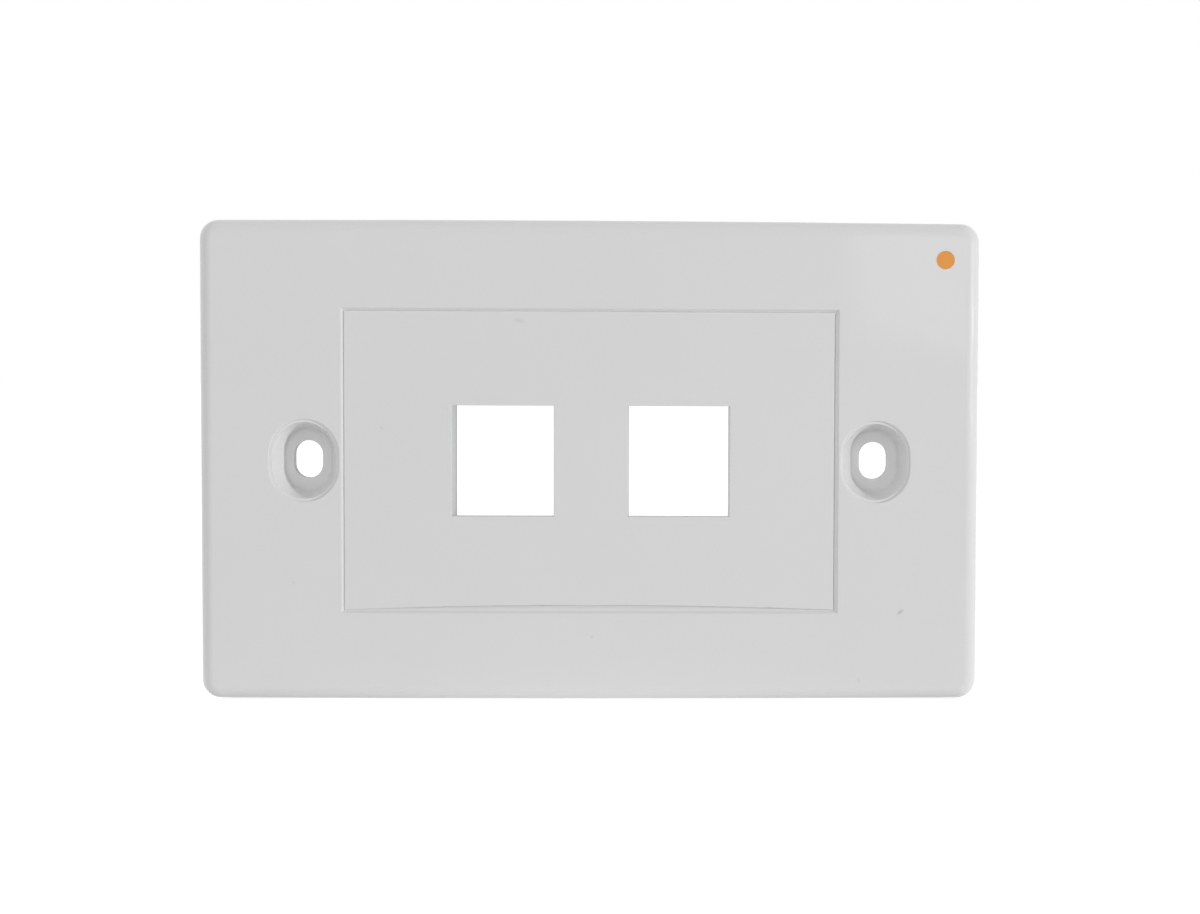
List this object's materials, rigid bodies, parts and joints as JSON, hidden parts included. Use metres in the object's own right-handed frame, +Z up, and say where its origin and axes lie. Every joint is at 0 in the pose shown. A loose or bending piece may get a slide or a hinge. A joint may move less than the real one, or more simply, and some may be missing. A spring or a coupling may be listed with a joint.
{
  "type": "keystone faceplate",
  "caption": "Horizontal wall faceplate with a clip-in centre insert, keystone apertures and stepped recesses with upright screw slots.",
  "frame": {"origin": "centre of the wall plane, which the back rim lies on", "axes": "+X to the right and +Z up for someone who faces the plate; the front looks along -Y, and +Y goes into the wall"},
  "size_m": [0.1148, 0.01, 0.071],
  "materials": {
    "surround_white": "glossy moulded white plastic",
    "insert_white": "glossy moulded white plastic",
    "marker_orange": "plain orange plastic"
  },
  "bodies": {
    "root": {"surround": "surround_white", "keystone_insert": "insert_white", "marker_dot": "marker_orange"}
  },
  "joints": []
}
